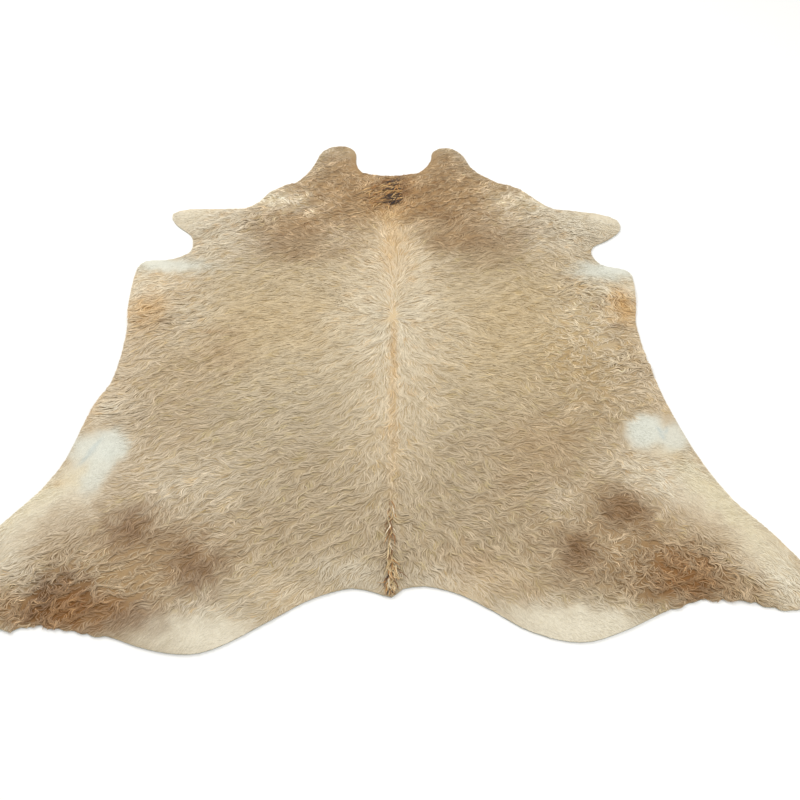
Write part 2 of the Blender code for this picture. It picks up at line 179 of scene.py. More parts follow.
# Where each tint lies. "side" is -1 on the left, 1 on the right and 0 on the
# backbone. The reaches are half sizes, "turn" leans a patch outwards in
# degrees, "strength" says how much of the hair there has the tint, and "edge"
# how firm its border is: 2 fades slowly and 6 ends within two locks' length.
# Each row is painted over the ones before it.
Patch = namedtuple("Patch", "tint side out fore reach_out reach_fore turn strength edge")
TINT_PATCHES = [Patch(*row) for row in (
    ("taupe", 0, 0.0, 1.66, 0.6, 0.34, 0, 0.68, 3),
    ("taupe", -1, 0.34, 1.47, 0.26, 0.15, 0, 0.62, 2),
    ("taupe", 1, 0.32, 1.46, 0.3, 0.16, 0, 0.55, 2),
    ("umber", 0, 0.0, 1.6, 0.22, 0.1, 0, 0.26, 2),
    ("umber", -1, 0.32, 1.4, 0.13, 0.08, 0, 0.5, 2),
    ("umber", 1, 0.28, 1.4, 0.16, 0.09, 0, 0.5, 2),
    ("umber", 1, 0.13, 1.55, 0.09, 0.08, 0, 0.34, 2),
    ("umber", -1, 0.34, 1.609, 0.065, 0.048, -41, 0.42, 2),
    ("umber", -1, 0.444, 1.357, 0.085, 0.055, -4, 0.36, 2),
    ("umber", 1, 0.278, 1.287, 0.084, 0.048, 0, 0.4, 2),
    ("umber", 1, 0.444, 1.434, 0.065, 0.075, 22, 0.38, 2),
    ("milk", -1, 0.179, 1.434, 0.05, 0.079, 4, 0.26, 2),
    ("milk", -1, 0.27, 1.93, 0.05, 0.12, -20, 0.45, 2),
    ("milk", 1, 0.27, 1.92, 0.05, 0.12, -20, 0.45, 2),
    ("umber", -1, 0.2, 1.88, 0.12, 0.14, 0, 0.31, 2),
    ("umber", 1, 0.19, 1.88, 0.12, 0.14, 0, 0.28, 2),
    ("taupe", 0, 0.0, 0.26, 0.72, 0.36, 0, 0.26, 3),
    ("taupe", -1, 0.63, 0.74, 0.13, 0.42, 8, 0.34, 2),
    ("taupe", 1, 0.6, 0.84, 0.13, 0.38, -6, 0.36, 2),
    ("umber", 1, 0.64, 0.93, 0.06, 0.12, -20, 0.22, 2),
    ("gold", -1, 0.36, 1.0, 0.26, 0.24, 8, 0.85, 2),
    ("gold", 1, 0.38, 1.0, 0.28, 0.26, -8, 0.85, 2),
    ("gold", 1, 0.3, 0.76, 0.18, 0.14, 0, 0.35, 2),
    ("taupe", 1, 0.4, 0.46, 0.13, 0.16, 0, 0.42, 2),
    ("taupe", -1, 0.5, 0.86, 0.08, 0.11, 0, 0.36, 2),
    ("taupe", 1, 0.225, 0.035, 0.1, 0.055, 20, 0.85, 2),
    ("milk", -1, 0.62, 1.0, 0.08, 0.11, 0, 0.34, 2),
    ("milk", 1, 0.56, 0.98, 0.1, 0.12, 0, 0.34, 2),
    ("milk", -1, 0.6, 0.31, 0.09, 0.1, 0, 0.42, 2),
    ("milk", -1, 0.46, 0.33, 0.1, 0.09, 0, 0.25, 2),
    ("milk", -1, 0.44, 0.2, 0.08, 0.07, 0, 0.28, 2),
    ("milk", 1, 0.62, 0.86, 0.05, 0.13, 0, 0.28, 2),
    ("milk", -1, 0.42, 1.65, 0.13, 0.07, -25, 0.8, 2),
    ("milk", 1, 0.46, 1.62, 0.14, 0.09, -35, 0.7, 2),
    ("milk", -1, 0.57, 1.4, 0.13, 0.09, 0, 0.55, 2),
    ("milk", 1, 0.55, 1.4, 0.13, 0.1, 0, 0.5, 2),
    ("cream", 0, 0.0, 1.24, 0.13, 0.22, 0, 0.85, 3),
    ("cream", 0, 0.0, 1.4, 0.06, 0.16, 0, 0.7, 2),
    ("cream", 0, 0.0, 0.96, 0.22, 0.26, 0, 0.45, 2),
    ("cream", 0, 0.0, 0.66, 0.09, 0.3, 0, 0.7, 2),
    ("milk", 0, 0.0, 0.97, 0.12, 0.14, 0, 0.34, 2),
    ("blush", -1, 0.8, 0.84, 0.1, 0.46, 0, 0.8, 2),
    ("blush", 1, 0.76, 0.84, 0.09, 0.46, 0, 0.8, 2),
    ("milk", -1, 0.7, 1.54, 0.2, 0.1, 6, 0.7, 3),
    ("milk", 1, 0.7, 1.52, 0.19, 0.11, 6, 0.7, 3),
    ("cream", -1, 0.76, 1.19, 0.15, 0.11, 0, 0.75, 2),
    ("cream", 1, 0.71, 1.16, 0.13, 0.11, 0, 0.75, 2),
    ("milk", -1, 0.81, 1.06, 0.025, 0.14, 0, 0.55, 2),
    ("milk", 1, 0.76, 1.14, 0.04, 0.07, 0, 0.5, 2),
    ("milk", 1, 0.68, 1.135, 0.068, 0.045, 7, 0.75, 2),
    ("milk", -1, 0.737, 1.15, 0.068, 0.041, 6, 0.5, 2),
    ("milk", -1, 0.803, 0.596, 0.054, 0.028, 14, 0.6, 2),
    ("apricot", -1, 0.752, 1.045, 0.055, 0.085, 0, 0.66, 2),
    ("apricot", -1, 0.85, 0.6, 0.035, 0.06, 0, 0.4, 2),
    ("apricot", 1, 0.705, 1.065, 0.038, 0.07, 0, 0.9, 2),
    ("blush", -1, 0.84, 0.24, 0.14, 0.28, -30, 0.9, 3),
    ("blush", 1, 0.82, 0.24, 0.14, 0.28, -28, 0.9, 3),
    ("milk", -1, 0.896, 0.272, 0.055, 0.17, -40, 0.8, 3),
    ("milk", 1, 0.856, 0.232, 0.045, 0.229, -28, 0.62, 3),
    ("milk", 1, 0.7, 0.35, 0.11, 0.08, 20, 0.75, 2),
    ("milk", -1, 0.8, 0.29, 0.06, 0.1, -25, 0.35, 2),
    ("straw", -1, 0.905, 0.289, 0.034, 0.126, -42, 0.75, 2),
    ("apricot", -1, 0.865, 0.337, 0.025, 0.018, 31, 0.35, 2),
    ("straw", 1, 0.843, 0.265, 0.036, 0.19, -27, 0.85, 2),
    ("gold", 1, 0.747, 0.418, 0.025, 0.021, -28, 0.3, 2),
    ("taupe", -1, 0.6, 0.1, 0.24, 0.16, 0, 0.42, 2),
    ("taupe", 1, 0.58, 0.14, 0.24, 0.17, 20, 0.36, 2),
    ("umber", -1, 0.645, 0.18, 0.085, 0.08, 30, 0.4, 2),
    ("umber", -1, 0.647, 0.177, 0.048, 0.055, 36, 0.75, 2),
    ("umber", -1, 0.479, 0.065, 0.08, 0.095, 20, 0.45, 2),
    ("umber", -1, 0.479, 0.065, 0.045, 0.072, 24, 0.8, 2),
    ("umber", -1, 0.78, -0.03, 0.085, 0.072, -20, 0.88, 3),
    ("umber", -1, 0.715, -0.072, 0.17, 0.052, 0, 0.9, 3),
    ("umber", 1, 0.594, 0.242, 0.085, 0.075, 30, 0.4, 2),
    ("umber", 1, 0.59, 0.244, 0.048, 0.04, 30, 0.85, 2),
    ("umber", 1, 0.453, 0.102, 0.07, 0.085, 10, 0.4, 2),
    ("umber", 1, 0.45, 0.104, 0.04, 0.055, 13, 0.85, 2),
    ("umber", 1, 0.71, 0.045, 0.1, 0.07, 35, 0.66, 2),
    ("umber", 1, 0.67, 0.0, 0.12, 0.05, 15, 0.6, 2),
    ("soot", -1, 0.828, -0.03, 0.018, 0.055, 10, 0.4, 2),
    ("soot", 1, 0.735, 0.0, 0.018, 0.04, 0, 0.35, 2),
    ("ginger", -1, 0.74, -0.07, 0.14, 0.05, 0, 0.42, 2),
    ("ginger", 1, 0.72, 0.035, 0.09, 0.06, 30, 0.4, 2),
    ("milk", -1, 0.95, 0.09, 0.05, 0.07, -27, 0.6, 2),
    ("milk", 1, 0.935, 0.02, 0.05, 0.08, -29, 0.65, 2),
    ("umber", -1, 0.835, -0.06, 0.05, 0.03, -20, 0.5, 2),
    ("milk", -1, 0.885, 0.03, 0.035, 0.035, 0, 0.35, 2),
    ("taupe", -1, 0.91, -0.04, 0.04, 0.05, 6, 0.45, 2),
    ("taupe", 1, 0.835, 0.0, 0.045, 0.05, 7, 0.45, 2),
    ("cream", 1, 0.848, 0.118, 0.035, 0.06, -28, 0.45, 2),
    ("milk", 1, 0.431, 0.282, 0.062, 0.07, 34, 0.25, 2),
    ("milk", 1, 0.551, 0.136, 0.049, 0.044, 42, 0.08, 2),
    ("milk", -1, 0.41, -0.15, 0.16, 0.06, -10, 0.72, 3),
    ("umber", -1, 0.6, -0.095, 0.075, 0.026, -14, 0.42, 2),
    ("milk", -1, 0.42, -0.085, 0.08, 0.06, 0, 0.55, 2),
    ("milk", -1, 0.1, 0.04, 0.08, 0.035, -25, 0.45, 2),
    ("milk", 1, 0.11, 0.03, 0.08, 0.035, -20, 0.45, 2),
    ("milk", 1, 0.44, -0.115, 0.18, 0.065, 8, 0.82, 3),
    ("cream", -1, 0.22, -0.035, 0.14, 0.045, -30, 0.75, 2),
    ("cream", 1, 0.18, -0.01, 0.14, 0.04, -25, 0.75, 2),
    ("ivory", -1, 0.824, 0.459, 0.042, 0.06, 22, 0.8, 4),
    ("ivory", -1, 0.771, 0.39, 0.037, 0.1, -8, 0.75, 5),
    ("ivory", -1, 0.755, 0.473, 0.05, 0.068, 25, 0.85, 6),
    ("ivory", 1, 0.762, 0.5, 0.042, 0.052, 26, 0.75, 4),
    ("ivory", 1, 0.685, 0.526, 0.05, 0.068, 19, 0.92, 6),
    ("ivory", -1, 0.73, 1.275, 0.15, 0.045, -6, 0.78, 3),
    ("ivory", 1, 0.69, 1.245, 0.12, 0.05, -6, 0.9, 3),
    ("vein", -1, 0.806, 0.448, 0.006, 0.052, -22, 0.75, 3),
    ("vein", 1, 0.729, 0.515, 0.005, 0.027, -12, 0.85, 3),
    ("vein", 1, 0.745, 0.526, 0.004, 0.02, 17, 0.6, 3),
    # Thin taupe and umber lines on both sides near the shoulders: painted shade in the creases of the
    # hide
    ("taupe", -1, 0.643, 1.193, 0.054, 0.007, -5, 0.4, 2),
    ("taupe", -1, 0.639, 1.162, 0.057, 0.007, -5, 0.4, 2),
    ("taupe", -1, 0.634, 1.127, 0.057, 0.007, -5, 0.4, 2),
    ("taupe", -1, 0.626, 1.087, 0.056, 0.007, -5, 0.4, 2),
    ("taupe", -1, 0.549, 0.94, 0.072, 0.006, -3, 0.6, 2),
    ("taupe", 1, 0.565, 1.182, 0.061, 0.006, 38, 0.5, 2),
    ("umber", -1, 0.697, 0.987, 0.036, 0.008, -44, 0.5, 2),
    ("umber", 1, 0.621, 1.053, 0.018, 0.006, 0, 0.75, 2),
    ("umber", 1, 0.662, 0.968, 0.015, 0.008, 0, 0.75, 2),
    ("apricot", 0, 0.0, 1.575, 0.085, 0.07, 0, 0.38, 2),
    ("apricot", 0, 0.0, 1.4, 0.035, 0.16, 0, 0.5, 2),
    ("apricot", 0, 0.0, 0.84, 0.01, 0.16, 0, 0.6, 2),
    ("apricot", 0, 0.0, 0.5, 0.012, 0.22, 0, 0.3, 2),
    ("umber", 0, 0.0, 0.08, 0.02, 0.1, 0, 0.25, 2),
    ("ginger", 0, 0.0, 1.69, 0.075, 0.08, 0, 0.45, 2),
    ("umber", 0, -0.005, 1.7, 0.045, 0.085, 0, 0.85, 3),
)]

# How the hair differs from place to place: its length as a share of the usual
# one, how curly it is, how much its tone varies from lock to lock, and how
# strongly it is mottled.
Growth = namedtuple(
    "Growth", "side out fore reach_out reach_fore turn length curl contrast mottle edge"
)
USUAL_GROWTH = Growth(0, 0, 0, 0, 0, 0, 1.0, 0.35, 0.09, 0.04, 2)
GROWTH_PATCHES = [Growth(*row) for row in (
    (0, 0.0, 1.7, 0.6, 0.42, 0, 0.55, 1.05, 0.16, 0.28, 3),
    (0, 0.0, 0.2, 0.8, 0.46, 0, 0.95, 0.7, 0.1, 0.05, 3),
    (-1, 0.58, 0.12, 0.24, 0.18, 0, 0.62, 0.9, 0.14, 0.12, 3),
    (1, 0.56, 0.16, 0.24, 0.19, 0, 0.64, 0.9, 0.14, 0.12, 3),
    (-1, 0.64, 1.08, 0.14, 0.2, 0, 0.5, 0.6, 0.11, 0.08, 3),
    (-1, 0.66, 0.8, 0.18, 0.46, 0, 0.8, 0.6, 0.12, 0.08, 2),
    (1, 0.62, 0.8, 0.18, 0.46, 0, 0.75, 0.75, 0.15, 0.1, 2),
    (-1, 0.34, 1.02, 0.24, 0.26, 0, 1.0, 0.22, 0.065, 0.05, 2),
    (1, 0.3, 1.04, 0.2, 0.24, 0, 1.0, 0.22, 0.065, 0.05, 2),
    (1, 0.56, 0.84, 0.12, 0.25, 0, 0.74, 1.25, 0.185, 0.12, 2),
    (0, 0.0, 1.2, 0.16, 0.3, 0, 1.0, 0.3, 0.08, 0.03, 2),
    (-1, 0.72, 1.52, 0.18, 0.12, 6, 0.45, 0.35, 0.05, 0.04, 3),
    (1, 0.71, 1.5, 0.18, 0.12, 6, 0.45, 0.35, 0.05, 0.04, 3),
    (-1, 0.855, 0.22, 0.12, 0.26, -33, 0.42, 0.2, 0.035, 0.025, 4),
    (1, 0.84, 0.185, 0.105, 0.28, -27, 0.42, 0.2, 0.035, 0.025, 4),
    (-1, 0.77, -0.03, 0.2, 0.11, 0, 0.95, 1.5, 0.2, 0.1, 3),
    (1, 0.69, 0.04, 0.18, 0.11, 25, 0.95, 1.5, 0.2, 0.1, 3),
    (-1, 0.42, -0.145, 0.26, 0.085, -8, 0.32, 0.12, 0.025, 0.02, 4),
    (1, 0.44, -0.115, 0.24, 0.08, 8, 0.32, 0.12, 0.025, 0.02, 4),
    (0, 0.0, 0.02, 0.26, 0.045, 0, 0.5, 0.3, 0.05, 0.02, 2),
    (-1, 0.79, 0.435, 0.085, 0.13, -8, 0.24, 0.05, 0.01, 0.01, 5),
    (1, 0.714, 0.518, 0.1, 0.09, 7, 0.24, 0.05, 0.01, 0.01, 5),
    (-1, 0.73, 1.275, 0.14, 0.055, -6, 0.32, 0.15, 0.03, 0.02, 3),
    (1, 0.69, 1.245, 0.12, 0.06, -6, 0.32, 0.15, 0.03, 0.02, 3),
)]

# The coat is cut into strips across the hide, so that no mesh grows too large
STRIP_NAMES = ("coat_rump", "coat_thighs", "coat_loin", "coat_ribs", "coat_shoulders", "coat_neck")

# Longer locks that stand apart from the coat: where they root, which way they
# lie (degrees, 0 is to the right and 90 is forward), how long they are, and
# their tints with a share for each.
Tuft = namedtuple("Tuft", "name across fore reach_across reach_fore count lay fan length width tints")
TUFTS = (
    Tuft("poll", -0.030, 1.680, 0.050, 0.080, 70, 226, 24, 0.050, 0.0040,
         (("apricot", 0.30), ("ginger", 0.45), ("umber", 0.15), ("taupe", 0.10))),
    Tuft("poll", 0.028, 1.710, 0.018, 0.080, 130, 206, 8, 0.074, 0.0044,
         (("apricot", 0.20), ("ginger", 0.22), ("umber", 0.10), ("soot", 0.48))),
    Tuft("poll", 0.004, 1.640, 0.010, 0.018, 34, 248, 20, 0.036, 0.0042,
         (("soot", 0.80), ("umber", 0.20))),
    Tuft("tail", -0.004, 0.170, 0.004, 0.130, 60, 268, 9, 0.060, 0.0034,
         (("ginger", 0.22), ("umber", 0.14), ("gold", 0.50), ("cream", 0.14))),
    Tuft("tail", -0.002, 0.040, 0.009, 0.070, 60, 272, 16, 0.050, 0.0036,
         (("ginger", 0.28), ("umber", 0.24), ("soot", 0.04), ("gold", 0.44))),
)
TUFT_NAMES = ("poll", "tail")


def soft_step(value):
    """A rise from 0 to 1 that starts and ends level, on arrays."""
    t = np.clip(value, 0.0, 1.0)
    return t * t * (3.0 - 2.0 * t)


class Ripples:
    """A smooth random field: waves of about one length that run every way."""

    WAVES = 9

    def __init__(self, seed, length):
        chance = np.random.default_rng(seed)
        turn = chance.uniform(0.0, 2.0 * math.pi, self.WAVES)
        number = 2.0 * math.pi / (length * chance.uniform(0.7, 1.5, self.WAVES))
        self.waves = np.stack([number * np.cos(turn), number * np.sin(turn)], axis=1)
        self.starts = chance.uniform(0.0, 2.0 * math.pi, self.WAVES)

    def at(self, places):
        """The field at each place, about 0 with a spread of about 1."""
        total = np.zeros(len(places))
        for wave, start in zip(self.waves, self.starts):
            total += np.sin(places @ wave + start)
        return total / math.sqrt(self.WAVES / 2.0)


# Fields that neighbouring locks share, so that they lie and colour in clumps
PATCH_EDGE = (Ripples(1, 0.16), Ripples(2, 0.16), Ripples(3, 0.045), Ripples(4, 0.045))
PARTING = Ripples(12, 0.16)
PARTING_WANDER = 0.0035
PARTING_WIDTH = 0.016
LAY_DRIFT = Ripples(5, 0.190)
LAY_WAVE = Ripples(6, 0.060)
LAY_CURL = Ripples(7, 0.026)
MOTTLE_WIDE = Ripples(8, 0.110)
MOTTLE_FINE = Ripples(9, 0.030)
CLUMP_TONE = Ripples(10, 0.013)
SUNBURN = Ripples(13, 0.042)
EDGE_SHIFT_WIDE = 0.022
EDGE_SHIFT_FINE = 0.009

# How much of a lock's tone is its own, its clump's and the coat's wide and fine mottle
LOCK_SHARE = 0.90
CLUMP_SHARE = 0.50
MOTTLE_SHARES = (0.5, 0.7)

# Clumps bleach where their field is above the first, fully from the sum of both
SUNBURN_FROM = 0.7
SUNBURN_SPAN = 0.9

# Hair that varies less than this doesn't bleach
EVEN_HAIR = 0.04
EVEN_FADE = 0.05

# Pale locks: how many for the hair's contrast, how much paler for its square, and
# the palest that one may get, as a linear value
PALE_LOCKS = 0.9
PALE_GAIN = 9.0
PALEST = 0.66

# Below this share of the usual length the hair is so short that the down fills it
SHORT_HAIR = 0.62
SHORT_FADE = 0.25

# From this curl on, locks hang raggedly over the rim, up to so many times further
SHAGGY_CURL = 0.9
SHAGGY_SPAN = 0.6
SHAGGY_REACH = 7.0


def hide_places(points):
    """World x, y as (across, fore) places on the hide; across is signed."""
    return np.asarray(points)[:, :2] - np.array([BACKBONE_X, TAIL_ROOT_Y])


def patch_share(patch, places):
    """How much of a patch is at each place. A firm edge wanders less than a soft one."""
    # The border of a small patch wanders less too
    smallest = min(patch.reach_out, patch.reach_fore)
    wide = EDGE_SHIFT_WIDE * min(1.0, smallest / 0.16) * 2.0 / patch.edge
    fine = EDGE_SHIFT_FINE * min(1.0, smallest / 0.06) * 2.0 / patch.edge
    across = places[:, 0] + wide * PATCH_EDGE[0].at(places) + fine * PATCH_EDGE[2].at(places)
    fore = places[:, 1] + wide * PATCH_EDGE[1].at(places) + fine * PATCH_EDGE[3].at(places)
    turn = math.radians(patch.turn) * (patch.side or 1)
    from_x = across - patch.side * patch.out
    from_y = fore - patch.fore
    along = from_x * math.cos(turn) - from_y * math.sin(turn)
    up = from_x * math.sin(turn) + from_y * math.cos(turn)
    reach = np.hypot(along / patch.reach_out, up / patch.reach_fore)
    return np.exp(-0.8 * reach ** patch.edge)


def coat_tints(places, colours):
    """The hair's colour at each place, painted patch over patch."""
    tints = np.tile(np.array(colours.greige), (len(places), 1))
    for patch in TINT_PATCHES:
        share = patch.strength * patch_share(patch, places)
        tints += share[:, None] * (np.array(getattr(colours, patch.tint)) - tints)
    return tints


def coat_growth(places):
    """Length, curl, contrast and mottle at each place."""
    names = ("length", "curl", "contrast", "mottle")
    values = np.tile([getattr(USUAL_GROWTH, n) for n in names], (len(places), 1))
    for patch in GROWTH_PATCHES:
        share = patch_share(patch, places)
        values += share[:, None] * (np.array([getattr(patch, n) for n in names]) - values)
    return values.T


def shortness(length):
    """0 where the hair has its usual length, up to 1 where it is shortest."""
    return soft_step((SHORT_HAIR - length) / SHORT_FADE)


def lay_angle(places, curl):
    """Which way the hair lies: it parts at the backbone, turns at the whorl and
    drifts back down the ribs, with waves that neighbouring locks share."""
    across, fore = places.T
    across = across - PARTING_WANDER * PARTING.at(places * (0.0, 1.0))
    out = np.abs(across)
    # The crest's hair lies forward in front of the whorl, and back behind it
    behind = -np.tanh((fore - WHORL_FORE) / WHORL_REACH)
    # The crest is widest on the neck, and wider on the rump than on the loin
    crest_reach = 0.14 + 0.22 * soft_step((fore - 1.25) / 0.40) + 0.08 * soft_step((0.6 - fore) / 0.5)
    crest = (1.15 + 0.35 * behind) * behind * np.exp(-out / crest_reach)
    # All hair drifts back, most of all low on the sides and over the rump
    drift = 0.12 + 0.50 * soft_step((out - 0.20) / 0.50) + 0.45 * soft_step((0.50 - fore) / 0.50)
    outward = 0.32 + 0.68 * soft_step(out / 0.16)
    side = np.tanh((across + 0.006 * LAY_CURL.at(places)) / PARTING_WIDTH)
    angle = np.arctan2(-(crest + drift), side * outward)
    # The curlier the hair, the more it strays from that
    angle = angle + (0.10 + 0.24 * curl) * LAY_DRIFT.at(places)
    angle = angle + (0.10 + 0.42 * curl) * LAY_WAVE.at(places)
    return angle + 0.55 * np.maximum(curl - 0.15, 0.0) * LAY_CURL.at(places)


class HideSurface:
    """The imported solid's faces, asked for heights, insides and distances."""

    def __init__(self):
        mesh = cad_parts[HIDE].data
        points = [v.co.copy() for v in mesh.vertices]
        self.points = np.array(points)
        faces = [tuple(p.vertices) for p in mesh.polygons]
        normals = np.array([p.normal for p in mesh.polygons])
        self.tree = BVHTree.FromPolygons(points, faces)
        self.under = [f for f, n in zip(faces, normals) if n[2] < -0.5]
        self.rim = self._rim()

    def _rim(self):
        """The edge of the underside as pairs of points."""
        pairs = []
        for face in self.under:
            corners = [tuple(np.round(self.points[i][:2], 5)) for i in face]
            pairs += zip(corners, corners[1:] + corners[:1])
        pairs = dict.fromkeys(pairs)
        return np.array([pair for pair in pairs if pair[::-1] not in pairs])

    def rim_loop(self):
        """The same edge as one closed run of points."""
        follow = {tuple(start): tuple(end) for start, end in self.rim}
        loop = [tuple(self.rim[0][0])]
        while len(loop) < len(follow):
            loop.append(follow[loop[-1]])
        return np.array(loop)

    def column(self, x, y):
        """Lowest and highest point of the solid at a place, or None outside it."""
        down = self.tree.ray_cast(Vector((x, y, 1.0)), Vector((0.0, 0.0, -1.0)))
        if down[0] is None:
            return None
        up = self.tree.ray_cast(Vector((x, y, -1.0)), Vector((0.0, 0.0, 1.0)))
        return up[0].z, down[0].z

    def from_rim(self, places):
        """Distance to the edge of the hide, in world x and y."""
        nearest = np.full(len(places), np.inf)
        for start, end in self.rim:
            stretch = end - start
            share = np.clip((places - start) @ stretch / (stretch @ stretch), 0.0, 1.0)
            gap = np.hypot(*(places - start - share[:, None] * stretch).T)
            nearest = np.minimum(nearest, gap)
        return nearest

    def inside(self, places):
        """Which world places lie within the edge."""
        x, y = places.T
        odd = np.zeros(len(places), dtype=bool)
        for (x0, y0), (x1, y1) in self.rim:
            if y0 != y1:
                odd ^= ((y0 > y) != (y1 > y)) & (x < x0 + (y - y0) * (x1 - x0) / (y1 - y0))
        return odd


SURFACE = HideSurface()


def mesh_from_arrays(name, points, triangles):
    """A mesh of triangles, filled in one go."""
    mesh = bpy.data.meshes.new(name)
    mesh.vertices.add(len(points))
    mesh.vertices.foreach_set("co", points.astype(np.float32).ravel())
    mesh.loops.add(triangles.size)
    mesh.loops.foreach_set("vertex_index", triangles.astype(np.int32).ravel())
    mesh.polygons.add(len(triangles))
    mesh.polygons.foreach_set("loop_start", np.arange(0, triangles.size, 3, dtype=np.int32))
    mesh.polygons.foreach_set("use_smooth", np.ones(len(triangles), dtype=bool))
    mesh.update(calc_edges=True)
    mesh.validate()
    return mesh


def paint(mesh, tints):
    """Give each point of a mesh its tint."""
    colour = np.ones((len(mesh.vertices), 4), dtype=np.float32)
    colour[:, :3] = np.clip(tints, 0.0, 1.0).reshape(-1, 3)
    layer = mesh.color_attributes.new(COAT_TINT, "FLOAT_COLOR", "POINT")
    layer.data.foreach_set("color", colour.ravel())


def ribbon_layout(count):
    """Triangles of that many ribbons, each of paired points that end in one tip."""
    per_lock = 2 * SEGMENTS + 1
    pattern = []
    for k in range(SEGMENTS - 1):
        a = 2 * k
        pattern += [(a, a + 1, a + 3), (a, a + 3, a + 2)]
    pattern.append((per_lock - 3, per_lock - 2, per_lock - 1))
    starts = np.arange(count)[:, None, None] * per_lock
    return (starts + np.array(pattern)[None]).reshape(-1, 3)


# Along a lock, from root to tip: its height and width as shares of the most
LOCK_HEIGHT = np.array([0.45, 0.80, 1.00, 0.99, 0.88])
LOCK_WIDTH = np.array([0.55, 1.00, 0.95, 0.65])
# Along a lock, from root to tip: painted shade, darkest at the root where it lies under other locks;
# towards the tip the lock is a little lighter
LOCK_PAINTED_SHADE = np.array([0.88, 0.95, 1.00, 1.02, 1.04])

# How much richer in colour the darker hair is, whether it is darker by its own tone or by painted
# shade, which this warms the way hair in shade looks: at 0 it is only dimmer
RICHNESS = 1.35


def deepen(tints, tone):
    """Tints times a tone, by a power: hair that is darker is richer in colour too."""
    level = np.clip(tints.mean(axis=2), 0.05, 0.70)
    shade = np.minimum(tone, 1.0)
    power = 1.0 + RICHNESS * np.log(shade) / np.log(level)
    scale = shade ** (1.0 - RICHNESS) * np.maximum(tone, 1.0)
    return np.clip(tints, 0.001, 1.0) ** power[:, :, None] * scale[:, :, None]


def ribbons(name, stations, floors, rise, width, roll, tints, tone):
    """Flat tapering ribbons along their stations: the shape of a lying lock.

    stations are (locks, 5, 2) world places, floors the height of the skin at
    each lock, rise its height over the skin and roll its twist about its run.
    """
    count = len(stations)
    run = np.gradient(stations, axis=1)
    run /= np.linalg.norm(run, axis=2)[:, :, None] + 1e-9
    heights = floors[:, None] + rise[:, None] * LOCK_HEIGHT[None]
    half = 0.5 * width[:, None] * LOCK_WIDTH[None]
    side_x = -run[:, :-1, 1] * np.cos(roll)[:, None]
    side_y = run[:, :-1, 0] * np.cos(roll)[:, None]
    side_z = np.sin(roll)[:, None] * np.ones_like(side_x)
    points = np.zeros((count, 2 * SEGMENTS + 1, 3))
    for hand in (0, 1):
        sign = 1.0 - 2.0 * hand
        points[:, hand:-1:2, 0] = stations[:, :-1, 0] + sign * half * side_x
        points[:, hand:-1:2, 1] = stations[:, :-1, 1] + sign * half * side_y
        points[:, hand:-1:2, 2] = heights[:, :-1] + sign * half * side_z
    points[:, -1, :2] = stations[:, -1]
    points[:, -1, 2] = heights[:, -1]
    points[:, :, 2] = np.maximum(points[:, :, 2], LOWEST_HAIR)
    mesh = mesh_from_arrays(name, points.reshape(-1, 3), ribbon_layout(count))
    # Each point's tint is the lock's own tone times the painted shade along it, which is darkest at
    # the root
    painted_shades = np.append(np.repeat(LOCK_PAINTED_SHADE[:-1], 2), LOCK_PAINTED_SHADE[-1])
    paint(mesh, deepen(tints[:, None, :], tone[:, None] * painted_shades[None]))
    add_lock_uvs(mesh, count)
    return mesh


def add_lock_uvs(mesh, count):
    """Each lock has its own cell of the map: across it to the right, along it up."""
    cells = math.ceil(math.sqrt(count))
    # Empty rim of a cell, so that neighbours don't bleed into each other
    margin = 0.12
    across = np.array([0.0, 1.0] * SEGMENTS + [0.5])
    along = np.array([k // 2 for k in range(2 * SEGMENTS)] + [SEGMENTS]) / SEGMENTS
    index = np.arange(count)
    u = (index[:, None] % cells + margin + (1 - 2 * margin) * across[None]) / cells
    v = (index[:, None] // cells + margin + (1 - 2 * margin) * along[None]) / cells
    at_points = np.stack([u, v], axis=2).reshape(-1, 2)
    corners = np.zeros(len(mesh.loops), dtype=np.int32)
    mesh.loops.foreach_get("vertex_index", corners)
    mesh.uv_layers.new(name="OFBake").data.foreach_set(
        "uv", at_points[corners].astype(np.float32).ravel()
    )


def shorten_at_rim(stations, overhang):
    """Cut each lock back so that its tip hangs no further over the edge than that."""
    count = len(stations)
    near = SURFACE.from_rim(stations[:, 0]) < RIM_ZONE
    picked = stations[near]
    flat = picked.reshape(-1, 2)
    gap = SURFACE.from_rim(flat)
    # Past the edge the depth is negative
    depth = np.where(SURFACE.inside(flat), gap, -gap).reshape(len(picked), -1)
    reach = np.full(len(picked), float(SEGMENTS))
    for k in range(SEGMENTS, 0, -1):
        leaves = depth[:, k] < -overhang[near]
        before, after = depth[:, k - 1] + overhang[near], depth[:, k] + overhang[near]
        part = np.clip(before / np.maximum(before - after, 1e-9), 0.05, 1.0)
        reach = np.where(leaves, k - 1 + part, reach)
    steps = reach[:, None] * np.linspace(0.0, 1.0, SEGMENTS + 1)[None]
    low = np.minimum(steps.astype(int), SEGMENTS - 1)
    part = (steps - low)[:, :, None]
    rows = np.arange(len(picked))[:, None]
    stations = stations.copy()
    stations[near] = picked[rows, low] * (1.0 - part) + picked[rows, low + 1] * part
    kept = np.full(count, 1.0)
    kept[near] = reach / SEGMENTS
    return stations, kept


def grow_stations(places, length, curl, yaw):
    """Walk each lock from its root along the lay of the hair, in hide places."""
    stations = [places]
    for _ in range(SEGMENTS):
        angle = lay_angle(stations[-1], curl) + yaw
        step = (length / SEGMENTS)[:, None] * np.stack([np.cos(angle), np.sin(angle)], axis=1)
        stations.append(stations[-1] + step)
    return np.stack(stations, axis=1)


def triangular_grid(step):
    """World places over the hide's box, in staggered rows."""
    rows = np.arange(HIDE_LOW.y, HIDE_HIGH.y, step * math.sqrt(3.0) / 2.0)
    columns = np.arange(HIDE_LOW.x, HIDE_HIGH.x, step)
    grid = np.stack(np.meshgrid(columns, rows), axis=2)
    grid[1::2, :, 0] += 0.5 * step
    return grid.reshape(-1, 2)


